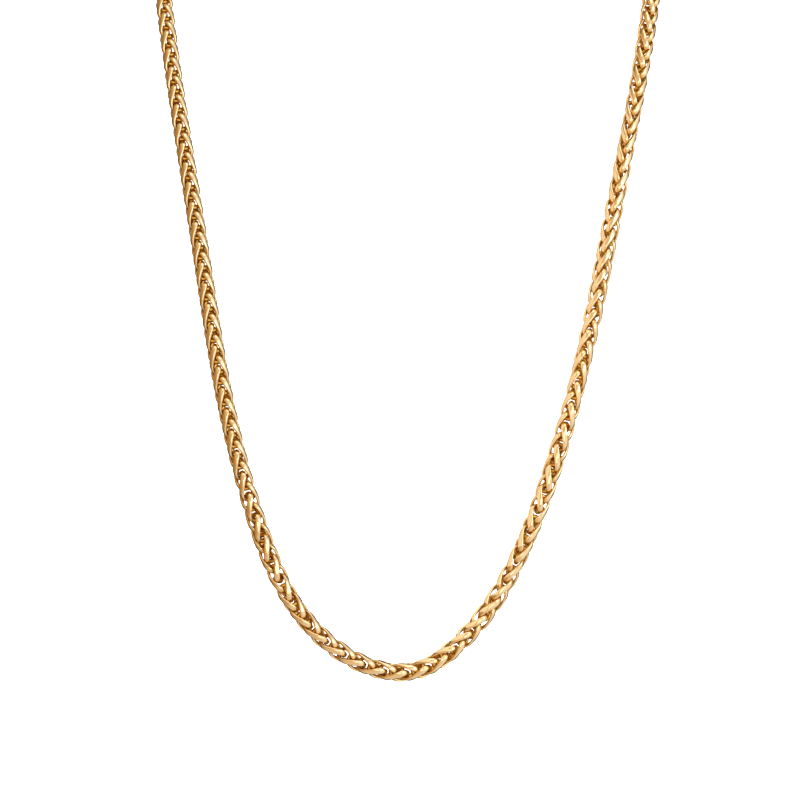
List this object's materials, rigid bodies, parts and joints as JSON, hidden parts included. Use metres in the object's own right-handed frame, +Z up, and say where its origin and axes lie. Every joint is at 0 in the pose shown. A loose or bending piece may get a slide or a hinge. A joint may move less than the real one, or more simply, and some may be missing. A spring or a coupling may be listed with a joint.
{
  "type": "wheat chain necklace",
  "caption": "Round plaited wheat chain in polished gold colour, closed by a plain barrel clasp at the nape, hanging in a narrow U.",
  "frame": {"origin": "the point of the nape that the clasp lies against, in the middle of the loop's back", "axes": "+Z up, +X to the wearer's left, +Y to the back, so the chest side of the loop is towards -Y"},
  "size_m": [0.1186, 0.1092, 0.1971],
  "materials": {
    "chain_gold": "gold-plated polished brass wire",
    "clasp_gold": "gold-plated polished brass"
  },
  "bodies": {
    "root": {"chain_left": "chain_gold", "chain_right": "chain_gold", "clasp": "clasp_gold"}
  },
  "joints": []
}
